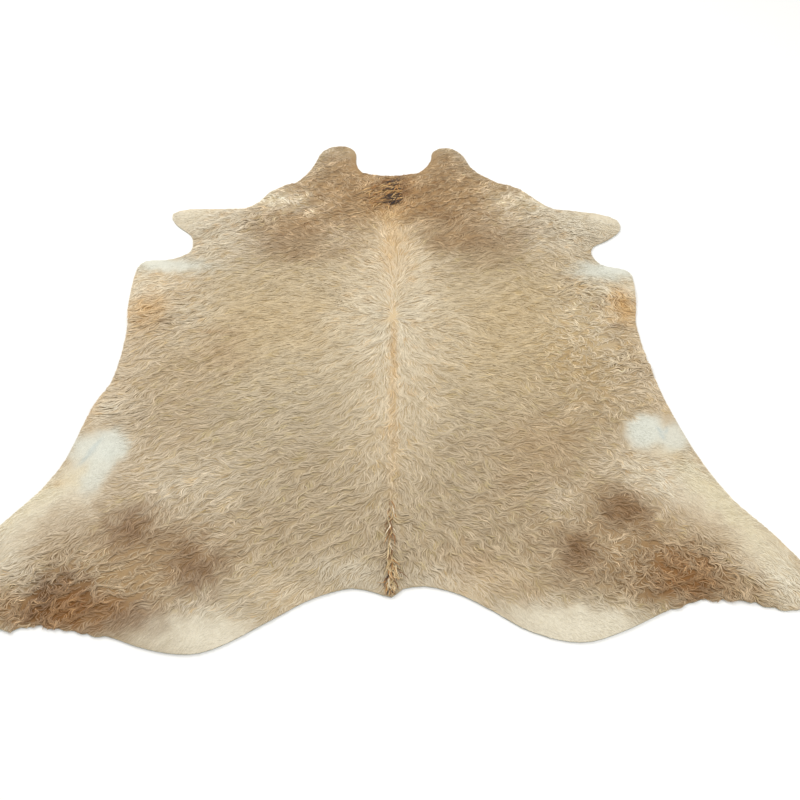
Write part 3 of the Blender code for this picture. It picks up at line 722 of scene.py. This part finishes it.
def scatter_roots(spacing):
    """Roots on a jittered grid: x, y, and the lowest and highest point of the model."""
    chance = np.random.default_rng(COAT_SEED)
    grid = triangular_grid(spacing)
    grid = grid + chance.uniform(-0.45, 0.45, grid.shape) * spacing
    found = [(x, y, SURFACE.column(x, y)) for x, y in grid]
    return np.array([(x, y, span[0], span[1]) for x, y, span in found if span])


def add_node(tree, kind, at, settings=None, inputs=None):
    """Add a node, set its properties and fill or link its inputs."""
    node = tree.nodes.new(kind)
    node.location = at
    for name, value in (settings or {}).items():
        setattr(node, name, value)
    for name, value in (inputs or {}).items():
        if isinstance(value, bpy.types.NodeSocket):
            tree.links.new(value, node.inputs[name])
        else:
            node.inputs[name].default_value = value
    return node


def new_material(name):
    """An empty node material and its tree."""
    material = bpy.data.materials.new(name)
    material.use_nodes = True
    material.node_tree.nodes.clear()
    return material, material.node_tree


def add_noise(tree, place, at, scale, detail=3.0, roughness=0.6, dimensions="3D"):
    """A noise over the place, as its grey value."""
    noise = add_node(
        tree, "ShaderNodeTexNoise", at, {"noise_dimensions": dimensions},
        {"Vector": place, "Scale": scale, "Detail": detail, "Roughness": roughness},
    )
    return noise.outputs["Fac"]


def add_tone(tree, base, noise, low, high):
    """The base colour, made darker and lighter by a noise."""
    tone = add_node(
        tree, "ShaderNodeMapRange", (-700, -100), {},
        {"Value": noise, "From Min": 0.3, "From Max": 0.7, "To Min": low, "To Max": high},
    )
    mixed = add_node(
        tree, "ShaderNodeVectorMath", (-480, 200), {"operation": "MULTIPLY"},
        {0: base, 1: tone.outputs["Result"]},
    )
    return mixed.outputs["Vector"]


def add_relief(tree, noise, strength, distance):
    """A noise as fine relief."""
    relief = add_node(
        tree, "ShaderNodeBump", (-480, -200), {},
        {"Height": noise, "Strength": strength, "Distance": distance},
    )
    return relief.outputs["Normal"]


def add_surface(tree, inputs):
    """The shader with these inputs, as the material's surface."""
    shader = add_node(tree, "ShaderNodeBsdfPrincipled", (-200, 200), {}, inputs)
    add_node(tree, "ShaderNodeOutputMaterial", (100, 200), {}, {"Surface": shader.outputs["BSDF"]})


def painted_tint(tree):
    """The tint that the mesh's points were given."""
    tint = add_node(tree, "ShaderNodeAttribute", (-900, 200), {"attribute_name": COAT_TINT})
    return tint.outputs["Color"]


def cow_hair_material():
    """Keratin with its natural pigment, washed and brushed: a soft satin hair, each
    lock its own tone, with finer strands drawn along it."""
    material, tree = new_material("cow hair, brushed")
    # A lock is about 2.5 mm wide. A strip's map has about 148 of them across, so
    # that each shows some 7 strands
    place = add_node(tree, "ShaderNodeUVMap", (-1300, -100), {"uv_map": "OFBake"})
    drawn = add_node(
        tree, "ShaderNodeMapping", (-1100, -100), {},
        {"Vector": place.outputs["UV"], "Scale": (1400.0, 90.0, 1.0)},
    )
    strands = add_noise(tree, drawn.outputs["Vector"], (-900, -100), 1.0, 2.0, dimensions="2D")
    add_surface(tree, {
        "Base Color": add_tone(tree, painted_tint(tree), strands, 0.86, 1.10),
        "Roughness": 0.58, "IOR": 1.55, "Specular IOR Level": 0.35,
        "Normal": add_relief(tree, strands, 0.25, 0.0004),
    })
    return material


def undercoat_material():
    """Short dense down under the guard hair: quite matt, with a fine uneven nap."""
    material, tree = new_material("cow undercoat, felted")
    place = add_node(tree, "ShaderNodeTexCoord", (-1100, -100))
    # Tufts of down are about 3 mm across
    down = add_noise(tree, place.outputs["Object"], (-900, -100), 330.0)
    add_surface(tree, {
        "Base Color": add_tone(tree, painted_tint(tree), down, 0.84, 1.06),
        "Roughness": 0.85, "IOR": 1.55, "Specular IOR Level": 0.2,
    })
    return material


def suede_material(name, tint):
    """Chrome-tanned skin, buffed on the flesh side: matt, with a short uneven nap.

    Without a tint it takes the one painted on its mesh.
    """
    material, tree = new_material(name)
    base = painted_tint(tree) if tint is None else tint[:]
    place = add_node(tree, "ShaderNodeTexCoord", (-1100, -100))
    # The nap's tufts are about 1 mm across, and stains run over some 60 mm
    nap = add_noise(tree, place.outputs["Object"], (-900, -100), 900.0)
    stains = add_noise(tree, place.outputs["Object"], (-900, -350), 16.0, 4.0, 0.55)
    add_surface(tree, {
        "Base Color": add_tone(tree, base, stains, 0.90, 1.06),
        "Roughness": 0.9, "IOR": 1.5, "Specular IOR Level": 0.25,
        "Normal": add_relief(tree, nap, 0.5, 0.0006),
    })
    return material


def add_object(name, data):
    """A new object in the scene."""
    thing = bpy.data.objects.new(name, data)
    bpy.context.scene.collection.objects.link(thing)
    return thing


def show(name, mesh, material):
    """Put a mesh in the scene as a piece of the rug that rides on its one body."""
    mesh.materials.append(material)
    piece = add_object(name, mesh)
    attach(piece, "root")
    return piece


def sheet_mesh(name, step, height, tone, warm_shade, colours):
    """The hide's outline filled with triangles, lifted and painted in the coat's tints.

    step is the distance between its points. The three functions after it give, at each
    of them, the lift, the painted shade and a share of golden brown that warms that
    painted shade. Also returns the area laid flat.
    """
    edge = SURFACE.rim_loop()
    grid = triangular_grid(step)
    grid = grid[SURFACE.inside(grid)]
    # Points too near the rim would make slivers
    grid = grid[SURFACE.from_rim(grid) > 0.4 * step]
    loose = [Vector(place) for place in np.vstack([edge, grid])]
    # The 1 keeps the triangles inside the outline
    filled = delaunay_2d_cdt(loose, [], [list(range(len(edge)))], 1, 1e-6)
    flat = np.array([tuple(point) for point in filled[0]])
    triangles = np.array(filled[2])
    spans = flat[triangles[:, 1:]] - flat[triangles[:, :1]]
    area = 0.5 * np.abs(np.cross(spans[:, 0], spans[:, 1])).sum()
    places = hide_places(flat)
    mesh = mesh_from_arrays(name, np.column_stack([flat, height(flat)]), triangles)
    tints = coat_tints(places, colours)
    tints += warm_shade(places)[:, None] * (np.minimum(tints, np.array(colours.apricot)) - tints)
    paint(mesh, deepen(tints[:, None, :], tone(places)[:, None]))
    return mesh, float(area)


class RUG_OT_leather(Operator):
    """Lay the tanned skin: the hide's outline, filled and thickened to real leather"""

    bl_idname = "rug.leather"
    bl_label = "Lay the skin"

    def execute(self, context):
        sizes = context.scene.rug_leather
        none = lambda places: np.zeros(len(places))
        # The skin under the hair is painted in the coat's tints, dimmed to 0.8 as painted shade under
        # the locks
        under_hair_shade = lambda places: np.full(len(places), 0.8)
        mesh, area = sheet_mesh(
            "tanned_skin", SKIN_STEP, none, under_hair_shade, none, context.scene.rug_colours
        )
        piece = show("tanned_skin", mesh, suede_material("chrome-tanned skin", None))
        mesh.materials.append(suede_material("suede flesh side", sizes.flesh))
        mesh.materials.append(suede_material("cut leather edge", sizes.edge))
        solid = piece.modifiers.new("leather", "SOLIDIFY")
        solid.thickness = sizes.thickness
        solid.offset = 1.0
        solid.material_offset = 1
        solid.material_offset_rim = 2
        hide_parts(HIDE)
        size = HIDE_HIGH - HIDE_LOW
        context.scene["rug_flat"] = (size.x, size.y, area)
        return {"FINISHED"}


class RUG_OT_undercoat(Operator):
    """Lay the undercoat: the dense short hair that closes the gaps between the locks"""

    bl_idname = "rug.undercoat"
    bl_label = "Lay the undercoat"

    def execute(self, context):
        skin = context.scene.rug_leather.thickness
        share = context.scene.rug_coat.undercoat

        def height(points):
            spans = [SURFACE.column(x, y) or (0.0, RIM_DEPTH) for x, y in points]
            depth = np.array([high - low for low, high in spans])
            length = coat_growth(hide_places(points))[0]
            dense = share + 0.25 * shortness(length)
            return skin + dense * np.maximum(depth - skin, 0.0)

        def tone(places):
            # Painted shade: the down is darkened as if the locks shaded it, less where the hair is
            # short and most between curls, where it lies in their shadow
            length, curl = coat_growth(places)[:2]
            return 0.92 + 0.07 * shortness(length) - 0.36 * np.clip(curl - 0.6, 0.0, 1.0)

        # Painted warm shade: the down's tint is drawn towards golden brown, the way hair in shade
        # looks warmer, but not among curls or under short hair
        def warm_shade(places):
            length, curl = coat_growth(places)[:2]
            straight = 1.0 - soft_step((curl - 0.35) / 0.45)
            return 0.22 * straight * (1.0 - shortness(length))

        mesh, _ = sheet_mesh(
            "undercoat", DOWN_STEP, height, tone, warm_shade, context.scene.rug_colours
        )
        show("undercoat", mesh, undercoat_material())
        return {"FINISHED"}


def lock_tones(places, contrast, mottle, chance):
    """How dark or light each lock is, by itself, with its clump and with the mottle."""
    wide, fine = MOTTLE_SHARES
    return np.exp(
        LOCK_SHARE * contrast * chance.normal(0.0, 1.0, len(places))
        + CLUMP_SHARE * contrast * CLUMP_TONE.at(places)
        + mottle * (wide * MOTTLE_WIDE.at(places) + fine * MOTTLE_FINE.at(places))
    )


def weathered(tints, places, contrast, golden, chance):
    """The tints with some clumps bleached to a golden brown, and pale locks among the
    uneven ones. Even, contrastless hair stays as it is."""
    count = len(places)
    bleached = soft_step((SUNBURN.at(places) - SUNBURN_FROM) / SUNBURN_SPAN)
    bleached = bleached * chance.uniform(0.05, 0.60, count)
    bleached *= soft_step((contrast - EVEN_HAIR) / EVEN_FADE)
    tints = tints + bleached[:, None] * (np.minimum(tints, np.array(golden)) - tints)
    pale = chance.uniform(size=count) < PALE_LOCKS * contrast
    room = np.maximum(PALEST / tints[pale].max(axis=1), 1.0)
    tints[pale] *= np.minimum(1.0 + PALE_GAIN * contrast[pale] ** 2, room)[:, None]
    return tints


class RUG_OT_coat(Operator):
    """Grow the coat: ribbon locks that lie over each other, in strips across the hide"""

    bl_idname = "rug.coat"
    bl_label = "Grow the coat"

    def execute(self, context):
        sizes, colours = context.scene.rug_coat, context.scene.rug_colours
        roots = scatter_roots(sizes.spacing)
        chance = np.random.default_rng(COAT_SEED + 1)
        places = hide_places(roots)
        count = len(places)
        length, curl, contrast, mottle = coat_growth(places)
        # Each lock turns a little from the lay of the hair, and a curly one more
        yaw = chance.normal(0.0, 1.0, count) * (0.10 + 0.13 * curl)
        lengths = sizes.length * length * chance.uniform(0.75, 1.25, count)
        stations = grow_stations(places, lengths, curl, yaw)
        tints = coat_tints(stations[:, SEGMENTS // 2], colours)
        stations += np.array([BACKBONE_X, TAIL_ROOT_Y])
        shaggy = np.clip(curl - SHAGGY_CURL, 0.0, SHAGGY_SPAN) / SHAGGY_SPAN
        fringe = sizes.overhang * (1.0 + SHAGGY_REACH * shaggy * chance.uniform(size=count) ** 2)
        stations, kept = shorten_at_rim(stations, fringe)
        skin = context.scene.rug_leather.thickness
        depth = np.maximum(roots[:, 3] - roots[:, 2] - skin, THINNEST_COAT)
        # Curls lie at more uneven heights, and a lock cut short at the rim lies lower
        uneven = (0.12 + 0.36 * np.minimum(curl, 1.0)) * chance.uniform(size=count)
        rise = depth * sizes.lift * (1.06 - uneven) * np.minimum(1.0, 0.4 + kept)
        width = sizes.width * (0.60 + 0.40 * np.minimum(length, 1.0)) * chance.uniform(0.7, 1.2, count)
        roll = chance.normal(0.0, 1.0, count) * (0.05 + 0.12 * curl)
        tone = lock_tones(places, contrast, mottle, chance)
        tints = weathered(tints, places, contrast, colours.apricot, chance)
        material = cow_hair_material()
        strips = np.array_split(np.argsort(places[:, 1], kind="stable"), len(STRIP_NAMES))
        for name, here in zip(STRIP_NAMES, strips):
            mesh = ribbons(
                name, stations[here], roots[here, 2] + skin, rise[here], width[here],
                roll[here], tints[here], tone[here],
            )
            show(name, mesh, material)
        return {"FINISHED"}


def tuft_root(tuft, chance):
    """A world place within the tuft's oval."""
    turn, reach = chance.uniform(0.0, 2.0 * math.pi), math.sqrt(chance.uniform())
    place = np.array([
        tuft.across + tuft.reach_across * reach * math.cos(turn),
        tuft.fore + tuft.reach_fore * reach * math.sin(turn),
    ])
    return place + (BACKBONE_X, TAIL_ROOT_Y)


def tuft_path(tuft, root, chance):
    """The stations of one lock, a little bent to one side and wavy."""
    angle = math.radians(tuft.lay + chance.normal(0.0, tuft.fan))
    bend = chance.normal(0.0, 0.16)
    wave = chance.uniform(0.0, 2.0 * math.pi)
    path = [root]
    for k in range(SEGMENTS):
        heading = angle + bend * k + 0.28 * math.sin(wave + 1.7 * k)
        step = tuft.length * chance.uniform(0.8, 1.1) / SEGMENTS
        path.append(path[-1] + step * np.array([math.cos(heading), math.sin(heading)]))
    return path


class RUG_OT_tufts(Operator):
    """Set the long dark and golden locks at the poll and along the tail"""

    bl_idname = "rug.tufts"
    bl_label = "Set the tufts"

    def execute(self, context):
        sizes, colours = context.scene.rug_coat, context.scene.rug_colours
        skin = context.scene.rug_leather.thickness
        for name in TUFT_NAMES:
            tufts = [tuft for tuft in TUFTS if tuft.name == name]
            mesh = self.tuft_mesh(name, tufts, sizes, colours, skin)
            show(name + "_tuft", mesh, bpy.data.materials["cow hair, brushed"])
        return {"FINISHED"}

    def tuft_mesh(self, name, tufts, sizes, colours, skin):
        """All the locks of the tufts with one name, the last ones on top."""
        chance = np.random.default_rng(COAT_SEED + 2 + len(name))
        stations, floors, rises, widths, tints = [], [], [], [], []
        for tuft in tufts:
            pool = [colour for colour, share in tuft.tints for _ in range(round(100 * share))]
            for _ in range(tuft.count):
                root = tuft_root(tuft, chance)
                span = SURFACE.column(*root)
                if span is None:
                    continue
                stations.append(tuft_path(tuft, root, chance))
                floors.append(span[0] + skin)
                rises.append((span[1] - span[0] - skin) * chance.uniform(1.0, 1.45))
                widths.append(tuft.width * chance.uniform(0.6, 1.1))
                tints.append(getattr(colours, pool[chance.integers(len(pool))])[:])
        stations, _ = shorten_at_rim(np.array(stations), np.full(len(stations), sizes.overhang))
        count = len(stations)
        return ribbons(
            name, stations, np.array(floors), np.array(rises), np.array(widths),
            chance.normal(0.0, 0.25, count), np.array(tints),
            np.exp(chance.normal(0.0, 0.16, count)),
        )


class RUG_OT_stage(Operator):
    """Set the pale floor, the soft light and the camera"""

    bl_idname = "rug.stage"
    bl_label = "Set the stage"

    def execute(self, context):
        sizes = context.scene.rug_stage
        self.add_floor(sizes)
        self.add_lights(sizes)
        self.add_camera(sizes)
        return {"FINISHED"}

    def add_floor(self, sizes):
        """A plain matt floor that runs far past the rug."""
        material, tree = new_material("painted studio floor")
        add_surface(tree, {"Base Color": (*sizes.floor_tint, 1.0), "Roughness": 0.9})
        shape = bmesh.new()
        bmesh.ops.create_grid(shape, x_segments=1, y_segments=1, size=30.0)
        mesh = bpy.data.meshes.new("floor")
        shape.to_mesh(mesh)
        shape.free()
        mesh.materials.append(material)
        floor = add_object("floor", mesh)
        # Half a millimetre lower, so that it never shows through the skin
        floor.location.z = -0.0005

    def add_lights(self, sizes):
        """A large key from the far left, a fill from the right, and a white sky."""
        for name, power, size, place in (
            ("key", sizes.key_power, 2.6, (-2.4, 2.6, 3.2)),
            ("fill", sizes.fill_power, 3.0, (2.6, -1.6, 3.0)),
        ):
            lamp = bpy.data.lights.new(name, "AREA")
            lamp.energy = power
            lamp.size = size
            light = add_object(name, lamp)
            light.location = place
            light.rotation_euler = (-Vector(place)).to_track_quat("-Z", "Y").to_euler()
        world = bpy.data.worlds.new("white studio")
        world.use_nodes = True
        sky = world.node_tree.nodes["Background"]
        sky.inputs["Color"].default_value = (1.0, 1.0, 1.0, 1.0)
        sky.inputs["Strength"].default_value = sizes.sky_strength
        bpy.context.scene.world = world
        bpy.context.scene.view_settings.view_transform = "Standard"

    def add_camera(self, sizes):
        """The photograph's viewpoint: behind the rump, looking down along the back."""
        lens = bpy.data.cameras.new("camera")
        lens.lens = sizes.focal_length
        lens.sensor_width = 36.0
        camera = add_object("camera", lens)
        camera.location = (
            BACKBONE_X + sizes.camera_side, TAIL_ROOT_Y - sizes.camera_back, sizes.camera_height
        )
        camera.rotation_euler = (math.pi / 2.0 - sizes.camera_pitch, 0.0, 0.0)
        bpy.context.scene.camera = camera


class RUG_PT_panel(Panel):
    """The rug's steps and sizes in the sidebar"""

    bl_label = "Cowhide rug"
    bl_idname = "RUG_PT_panel"
    bl_space_type = "VIEW_3D"
    bl_region_type = "UI"
    bl_category = "Cowhide"

    def draw(self, context):
        for operators, group in (
            ((RUG_OT_leather,), "rug_leather"),
            ((RUG_OT_undercoat, RUG_OT_coat), "rug_coat"),
            ((RUG_OT_tufts,), "rug_colours"),
            ((RUG_OT_stage,), "rug_stage"),
        ):
            box = self.layout.box()
            for operator in operators:
                box.operator(operator.bl_idname)
            settings = getattr(context.scene, group)
            for name in type(settings).__annotations__:
                box.prop(settings, name)


GROUPS = {
    "rug_colours": CoatColours,
    "rug_coat": CoatSizes,
    "rug_leather": LeatherSizes,
    "rug_stage": StageSizes,
}
OPERATORS = (RUG_OT_leather, RUG_OT_undercoat, RUG_OT_coat, RUG_OT_tufts, RUG_OT_stage)


def register():
    for name, group in GROUPS.items():
        bpy.utils.register_class(group)
        setattr(bpy.types.Scene, name, PointerProperty(type=group))
    for cls in (*OPERATORS, RUG_PT_panel):
        bpy.utils.register_class(cls)


def unregister():
    for cls in (RUG_PT_panel, *reversed(OPERATORS)):
        bpy.utils.unregister_class(cls)
    for name, group in GROUPS.items():
        delattr(bpy.types.Scene, name)
        bpy.utils.unregister_class(group)


def main():
    register()
    bpy.ops.rug.leather()
    bpy.ops.rug.undercoat()
    bpy.ops.rug.coat()
    bpy.ops.rug.tufts()
    bpy.ops.rug.stage()
    width, length, area = bpy.context.scene["rug_flat"]
    coat = [bpy.data.objects[name] for name in ("undercoat", *STRIP_NAMES)]
    coat += [bpy.data.objects[name + "_tuft"] for name in TUFT_NAMES]


if __name__ == "__main__":
    main()
